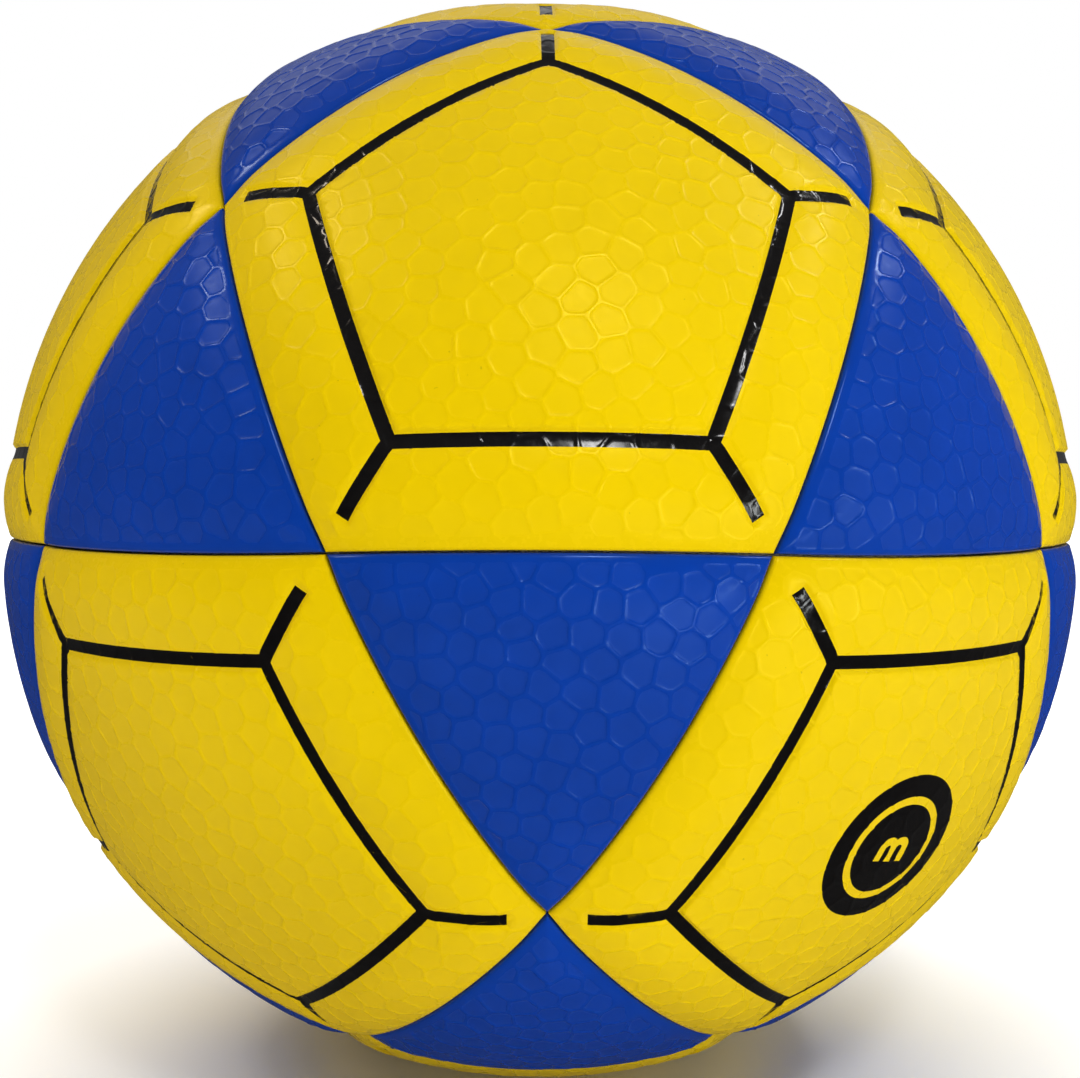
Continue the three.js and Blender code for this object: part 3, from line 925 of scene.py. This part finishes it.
def cover_material(name, base, finish):
    """Satin moulded polyurethane: faint clouding, matt dimple floors and glossier crests."""
    dark_shade, light_shade, crest_painted_shade, crest_gloss, gloss_tint = finish
    dark, light = shade(base, dark_shade), shade(base, light_shade)
    paint = Paint(name)
    tint = paint.mix(paint.pattern(*CLOUDS), dark, base)
    blotches = paint.maths("MULTIPLY", paint.pattern(*BLOTCHES), BLOTCH_SHARE)
    tint = paint.mix(blotches, tint, light)
    crest = paint.node("Attribute", attribute_name="crest").outputs["Fac"]
    # Painted shade: the crests are darkened towards the dark shade by their crest share.
    tint = paint.mix(paint.maths("MULTIPLY", crest, crest_painted_shade), tint, dark)
    specks = paint.pattern(*SPECKS, 0.0, SPECK_SHARE)
    grain = paint.pattern(*COVER_GRAIN, *COVER_ROUGHNESS)
    paint.set(
        Base_Color=paint.mix(specks, tint, shade(base, SPECK_SHADE)),
        Roughness=paint.maths("SUBTRACT", grain, paint.maths("MULTIPLY", crest, crest_gloss)),
        Specular_IOR_Level=COVER_SPECULAR,
        Specular_Tint=gloss_tint,
    )
    fine = paint.maths("MULTIPLY", paint.noise(*PEEL_FINE), PEEL_FINE_SHARE)
    paint.bump(paint.maths("ADD", paint.noise(*PEEL_COARSE), fine), *PEEL_BUMP)
    return paint.material


def ink_material(base):
    """Black screen ink, glossy, with a faintly uneven film."""
    paint = Paint("line_ink")
    paint.set(
        Base_Color=paint.mix(paint.pattern(*INK_STREAKS), base, shade(base, STREAK_SHADE)),
        Roughness=paint.pattern(*INK_GRAIN, *INK_ROUGHNESS),
        Specular_IOR_Level=INK_SPECULAR,
    )
    paint.bump(paint.noise(*INK_FILM), *INK_BUMP)
    return paint.material


def rubber_material(name, base, roughness):
    """Moulded rubber with a little dust."""
    paint = Paint(name)
    spread = (roughness - RUBBER_SPREAD, roughness + RUBBER_SPREAD)
    paint.set(
        Base_Color=paint.mix(paint.pattern(*DUST), base, shade(base, DUST_SHADE)),
        Roughness=paint.pattern(*RUBBER_GRAIN, *spread),
    )
    paint.bump(paint.noise(*RUBBER_SKIN), *RUBBER_BUMP)
    return paint.material


def thread_material(base):
    """Wound thread set in latex: crossing bands of fine cords."""
    paint = Paint("wound_thread")
    cords = 0.0
    for angle, scale in THREAD_LAYERS:
        turned = paint.node("Mapping", {"Vector": paint.place})
        turned.inputs["Rotation"].default_value = (angle, angle * 1.7, angle * 0.6)
        sockets = {"Vector": turned.outputs[0], "Scale": scale, "Distortion": THREAD_WAVER}
        wave = paint.node("TexWave", sockets)
        cords = paint.maths("MAXIMUM", cords, wave.outputs["Fac"])
    # Painted shade: the colour between the cords is darkened, as in the shade of their grooves.
    between = shade(base, THREAD_PAINTED_SHADE)
    paint.set(Base_Color=paint.mix(cords, between, base), Roughness=THREAD_ROUGHNESS)
    paint.bump(cords, *THREAD_BUMP)
    return paint.material


# Operators

def settings():
    return bpy.context.scene.korf_ball


def hand_over(piece, node):
    """The piece stands for its node and rides with the ball."""
    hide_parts(node)
    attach(piece, "root")


def master_panel(kind, rng, hole=0.0, mark=None):
    """A panel to place many times: yellow with its line figure, or blue. It may have the valve's
    hole or a printed mark."""
    ball, emboss = sizes_in_mm(settings().ball), sizes_in_mm(settings().emboss)
    if kind == "yellow":
        plan = PanelPlan(5, PENTAGON_CORNER, -ball["seam_bow"], True, hole, ball)
    else:
        plan = PanelPlan(3, TRIANGLE_CORNER, ball["seam_bow"], False, hole, ball)
    embossing = Embossing(plan, emboss, emboss[f"{kind}_pitch"], emboss[f"{kind}_depth"], rng)
    return closed_panel(plan, embossing, mark)


def place_panel(master, node, turned, materials):
    """Puts a master where its node is, and hands it over."""
    vertices, triangles, slots, crest = master
    piece = add_mesh(f"cover_{node}", vertices @ turned.T, triangles, slots, crest, materials)
    hand_over(piece, node)


# The valve's panel lies opposite the front one. The size ring is on the lower right one.
VALVE_INDEX = int(np.argmin([m @ MIDDLES[1] for m in MIDDLES]))
MARKED_INDEX = 6
EXTRA_BLUE_PATTERNS = 2


class KORFBALL_OT_pentagon_panels(bpy.types.Operator):
    """Make the twelve yellow five-sided panels with their inked line figures"""

    bl_idname = "korfball.pentagon_panels"
    bl_label = "Five-sided panels"

    def execute(self, context):
        colours = settings().colours
        materials = [
            cover_material("yellow_cover", tuple(colours.yellow), YELLOW_FINISH),
            ink_material(tuple(colours.ink)),
        ]
        rng = np.random.default_rng(RNG_SEED)
        masters = [master_panel("yellow", rng) for _ in range(settings().emboss.patterns)]
        holed = master_panel("yellow", rng, hole=settings().ball.valve_hole_radius / MM)
        marked = master_panel("yellow", rng, mark=SizeRing())
        for i, place in enumerate(pentagon_places()):
            master = {VALVE_INDEX: holed, MARKED_INDEX: marked}.get(i, masters[i % len(masters)])
            node = "pentagon_panel_valve" if i == VALVE_INDEX else f"pentagon_panel_{i + 1:02d}"
            spin = turn(0.0 if i == MARKED_INDEX else (i * 2 % 5) * 2 * math.pi / 5)
            place_panel(master, node, place @ spin, materials)
        return {"FINISHED"}


class KORFBALL_OT_triangle_panels(bpy.types.Operator):
    """Make the twenty blue three-sided panels"""

    bl_idname = "korfball.triangle_panels"
    bl_label = "Three-sided panels"

    def execute(self, context):
        materials = [cover_material("blue_cover", tuple(settings().colours.blue), BLUE_FINISH)]
        rng = np.random.default_rng(RNG_SEED + 1)
        count = settings().emboss.patterns + EXTRA_BLUE_PATTERNS
        masters = [master_panel("blue", rng) for _ in range(count)]
        for i, place in enumerate(triangle_places()):
            spin = turn((i // count) * 2 * math.pi / 3)
            node = f"triangle_panel_{i + 1:02d}"
            place_panel(masters[i % count], node, place @ spin, materials)
        return {"FINISHED"}


def refinish(node, material):
    """A CAD node that stays gets its finish."""
    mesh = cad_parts[node].data
    mesh.materials.clear()
    mesh.materials.append(material)


# The valve's profiles: distance from its axis, height along it, and the corner's rounding, in mm
HOUSING_PROFILE = (
    (2.9, 73.91, 0.3), (5.6, 73.91, 0.6), (5.6, 86.73, 1.0), (8.5, 86.49, 0.0),
    (12.0, 86.07, 0.0), (15.0, 85.61, 0.45), (15.0, 86.93, 0.45), (12.5, 87.32, 0.0),
    (9.9, 87.66, 0.0), (7.5, 87.89, 0.0), (4.8, 88.08, 0.0), (4.8, 95.0, 0.25),
    (4.0, 95.0, 0.2), (4.0, 93.3, 0.1), (2.9, 93.3, 0.1),
)
INSERT_PROFILE = (
    (0.0, 71.41, 0.0), (2.6, 71.41, 0.4), (3.9, 73.61, 0.15), (2.6, 73.61, 0.0),
    (2.6, 93.6, 0.0), (3.7, 93.6, 0.15), (3.7, 95.0, 0.35), (0.9, 95.0, 0.3),
    (0.0, 94.2, 0.0),
)
LATHE_SEGMENTS = 96
ROUNDING_STEPS = 4


def rounded(profile):
    """The profile's points, with each corner rounded as it says."""
    points = []
    for i, (distance, height, rounding) in enumerate(profile):
        corner = np.array([distance, height])
        if rounding == 0:
            points.append(corner)
            continue
        before = corner + rounding * unit(np.array(profile[i - 1][:2]) - corner)
        after = corner + rounding * unit(np.array(profile[(i + 1) % len(profile)][:2]) - corner)
        for t in np.linspace(0, 1, ROUNDING_STEPS + 1):
            points.append((1 - t) ** 2 * before + 2 * t * (1 - t) * corner + t * t * after)
    return points


def lathed(profile, place):
    """A profile turned about the axis: closed on itself, or from the axis back to the axis."""
    points = rounded(profile)
    vertices, rings = [], []
    for distance, height in points:
        count = 1 if distance == 0 else LATHE_SEGMENTS
        rings.append((len(vertices), count))
        for k in range(count):
            angle = 2 * math.pi * k / LATHE_SEGMENTS
            vertices.append((distance * math.cos(angle), distance * math.sin(angle), height))
    triangles = []
    for (low, low_count), (high, high_count) in zip(rings, rings[1:] + rings[:1]):
        for k in range(LATHE_SEGMENTS):
            a, b = low + k % low_count, low + (k + 1) % low_count
            c, d = high + (k + 1) % high_count, high + k % high_count
            if a != b:
                triangles.append((a, b, c))
            if c != d:
                triangles.append((a, c, d))
    return np.array(vertices) @ place.T * MM, np.array(triangles)


class KORFBALL_OT_valve(bpy.types.Operator):
    """Make the valve's housing and insert"""

    bl_idname = "korfball.valve"
    bl_label = "Valve"

    def execute(self, context):
        rubber = rubber_material("valve_rubber", tuple(settings().colours.valve), VALVE_ROUGHNESS)
        place = pentagon_places()[VALVE_INDEX]
        for node, profile in (("valve_housing", HOUSING_PROFILE), ("valve_insert", INSERT_PROFILE)):
            vertices, triangles = lathed(profile, place)
            plain = np.zeros(len(triangles), np.int32), np.zeros(len(vertices))
            piece = add_mesh(f"moulded_{node}", vertices, triangles, *plain, [rubber])
            hand_over(piece, node)
        return {"FINISHED"}


class KORFBALL_OT_inner_layers(bpy.types.Operator):
    """Finish the wound casing and the bladder"""

    bl_idname = "korfball.inner_layers"
    bl_label = "Casing and bladder"

    def execute(self, context):
        colours = settings().colours
        refinish("wound_casing", thread_material(tuple(colours.thread)))
        rubber = rubber_material("bladder_rubber", tuple(colours.bladder), BLADDER_ROUGHNESS)
        refinish("bladder", rubber)
        return {"FINISHED"}


WARM = (1.0, 0.86, 0.7)
COOL = (0.95, 1.0, 1.0)
NEUTRAL = (1.0, 1.0, 1.0)
# Lamps: azimuth and elevation in degrees, distance, width and height in metres, power, tint,
# and whether they leave a highlight
LAMPS = {
    "key_lamp": (12, 44, 1.2, (0.16, 0.2), 2.6, NEUTRAL, True),
    "left_lamp": (-71, 50, 1.2, (0.12, 0.26), 1.7, WARM, True),
    "right_lamp": (82, 52, 1.2, (0.12, 0.12), 1.2, NEUTRAL, True),
    "window": (43, -2, 0.6, (0.1, 0.1), 0.4, COOL, True),
    "back_softbox": (180, 50, 1.3, (1.6, 0.6), 1.4, NEUTRAL, True),
    "low_card": (27, -9, 0.38, (0.12, 0.04), 0.085, COOL, True),
    "left_fill": (-62, 52, 1.4, (1.0, 1.0), 1.6, WARM, False),
    "right_fill": (56, 10, 1.4, (1.0, 1.0), 2.1, COOL, False),
}

# The sky: between which slopes it brightens, and how much of it the ball mirrors
SKY_RISE = (-0.2, 0.6)
MIRRORED_SKY = 0.4

# The floor's rings in metres, and its glow: from and to which reach, and how far it rises
FLOOR_RINGS = (0.3, 1.0, 3.0, 8.0)
FLOOR_SEGMENTS = 96
NEAR_GLOW = (0.05, 0.11, 0.0, 0.55)
FAR_GLOW = (0.13, 0.6, 0.0, 0.65)
FLOOR_BOUNCE = 0.45

# The camera, from the seam corners in the photograph: its place, and its right, up and back
CAMERA_PLACE = (-0.00405, -0.27619, 0.00601)
CAMERA_AXES = (
    (0.99989, -0.01457, 0.00405),
    (-0.00373, 0.02182, 0.99975),
    (-0.01466, -0.99966, 0.02176),
)
CAMERA_CLIP = 0.01
# Its lens and sensor in millimetres
CAMERA_LENS = 48.46
SENSOR_WIDTH = 36.0


class KORFBALL_OT_stage(bpy.types.Operator):
    """Make the floor, the studio light and the camera"""

    bl_idname = "korfball.stage"
    bl_label = "Stage"

    def execute(self, context):
        scene = context.scene
        scene.view_settings.view_transform = "Standard"
        studio = settings().studio
        self.floor(tuple(studio.floor_shade))
        self.world(scene, studio.low_strength, studio.sky_strength)
        for name, values in LAMPS.items():
            self.lamp(name, *values)
        self.camera(scene)
        return {"FINISHED"}

    def lamp(self, name, azimuth, elevation, distance, size, power, tint, mirrored):
        """An area lamp that looks at the ball's centre."""
        data = bpy.data.lights.new(name, "AREA")
        data.shape = "RECTANGLE"
        data.size, data.size_y = size
        data.energy = power * settings().studio.light_scale
        data.color = tint
        lamp = bpy.data.objects.new(name, data)
        away = Vector(compass(math.radians(elevation), math.radians(azimuth)))
        lamp.location = away * distance
        lamp.rotation_euler = away.to_track_quat("Z", "Y").to_euler()
        lamp.visible_glossy = mirrored
        lamp.visible_camera = False
        bpy.context.scene.collection.objects.link(lamp)

    def floor(self, tint):
        """A round floor under the ball."""
        vertices, faces = [(0.0, 0.0, 0.0)], []
        for reach in FLOOR_RINGS:
            vertices += [(x, y, 0.0) for x, y in circle(reach, FLOOR_SEGMENTS).tolist()]
        for i in range(FLOOR_SEGMENTS):
            j = (i + 1) % FLOOR_SEGMENTS
            faces.append((0, 1 + i, 1 + j))
            for ring in range(len(FLOOR_RINGS) - 1):
                low, high = 1 + ring * FLOOR_SEGMENTS, 1 + (ring + 1) * FLOOR_SEGMENTS
                faces.append((low + i, high + i, high + j, low + j))
        mesh = bpy.data.meshes.new("studio_floor")
        mesh.from_pydata(vertices, [], faces)
        mesh.materials.append(self.floor_material(tint))
        floor = bpy.data.objects.new("studio_floor", mesh)
        floor.location.z = cad_box[0].z
        floor.visible_glossy = False
        bpy.context.scene.collection.objects.link(floor)

    def floor_material(self, tint):
        """Pale paper that glows where the ball doesn't stand. The glow lights the ball less."""
        paint = Paint("studio_floor")
        away = paint.node("VectorMath", {0: paint.place}, operation="LENGTH").outputs["Value"]
        glow = paint.maths("ADD", paint.remap(away, *NEAR_GLOW), paint.remap(away, *FAR_GLOW))
        seen = paint.node("LightPath").outputs["Is Camera Ray"]
        seen = paint.remap(seen, 0.0, 1.0, FLOOR_BOUNCE, 1.0)
        paint.set(
            Base_Color=paint.mix(paint.pattern(*PAPER), shade(tint, PAPER_SHADE), tint),
            Roughness=0.9,
            Specular_IOR_Level=0.1,
            Emission_Strength=paint.maths("MULTIPLY", glow, seen),
            Emission_Color=NEUTRAL,
        )
        return paint.material

    def world(self, scene, low, high):
        """A sky that is bright overhead and dim below, behind a white backdrop."""
        world = scene.world = bpy.data.worlds.new("studio_sky")
        nodes = Nodes(world)
        heading = nodes.node("TexCoord").outputs["Generated"]
        slope = nodes.node("SeparateXYZ", {0: heading}).outputs["Z"]
        rays = nodes.node("LightPath").outputs
        mirrored = nodes.remap(rays["Is Glossy Ray"], 0.0, 1.0, 1.0, MIRRORED_SKY)
        strength = nodes.maths("MULTIPLY", nodes.remap(slope, *SKY_RISE, low, high), mirrored)
        sky = nodes.node("Background", {"Color": NEUTRAL, "Strength": strength})
        backdrop = nodes.node("Background", {"Color": NEUTRAL})
        shaders = {0: rays["Is Camera Ray"], 1: sky.outputs[0], 2: backdrop.outputs[0]}
        nodes.node("OutputWorld", {0: nodes.node("MixShader", shaders).outputs[0]})

    def camera(self, scene):
        data = bpy.data.cameras.new("studio_camera")
        data.lens = CAMERA_LENS
        data.sensor_width = SENSOR_WIDTH
        data.clip_start = CAMERA_CLIP
        camera = bpy.data.objects.new("studio_camera", data)
        turned = Matrix(CAMERA_AXES).transposed().to_4x4()
        camera.matrix_world = Matrix.Translation(CAMERA_PLACE) @ turned
        scene.collection.objects.link(camera)
        scene.camera = camera


class KorfBallSettings(bpy.types.PropertyGroup):
    """All settings of the ball"""

    ball: PointerProperty(type=BallSizes)
    emboss: PointerProperty(type=EmbossSizes)
    colours: PointerProperty(type=CoverColours)
    studio: PointerProperty(type=StudioSettings)


OPERATORS = (
    KORFBALL_OT_pentagon_panels,
    KORFBALL_OT_triangle_panels,
    KORFBALL_OT_valve,
    KORFBALL_OT_inner_layers,
    KORFBALL_OT_stage,
)


class KORFBALL_PT_panel(bpy.types.Panel):
    """Lists the ball's settings and the steps that build it"""

    bl_idname = "KORFBALL_PT_panel"
    bl_label = "Korf Ball"
    bl_space_type = "VIEW_3D"
    bl_region_type = "UI"
    bl_category = "Korf Ball"

    def draw(self, context):
        for group in (settings().ball, settings().emboss, settings().colours, settings().studio):
            box = self.layout.box()
            for key in group.__annotations__:
                box.prop(group, key)
        for operator in OPERATORS:
            self.layout.operator(operator.bl_idname)


GROUPS = (BallSizes, EmbossSizes, CoverColours, StudioSettings, KorfBallSettings)
CLASSES = (*GROUPS, *OPERATORS, KORFBALL_PT_panel)


def register():
    for cls in CLASSES:
        bpy.utils.register_class(cls)
    bpy.types.Scene.korf_ball = PointerProperty(type=KorfBallSettings)


def unregister():
    del bpy.types.Scene.korf_ball
    for cls in reversed(CLASSES):
        bpy.utils.unregister_class(cls)


def main():
    register()
    bpy.ops.korfball.pentagon_panels()
    bpy.ops.korfball.triangle_panels()
    bpy.ops.korfball.valve()
    bpy.ops.korfball.inner_layers()
    bpy.ops.korfball.stage()


if __name__ == "__main__":
    main()
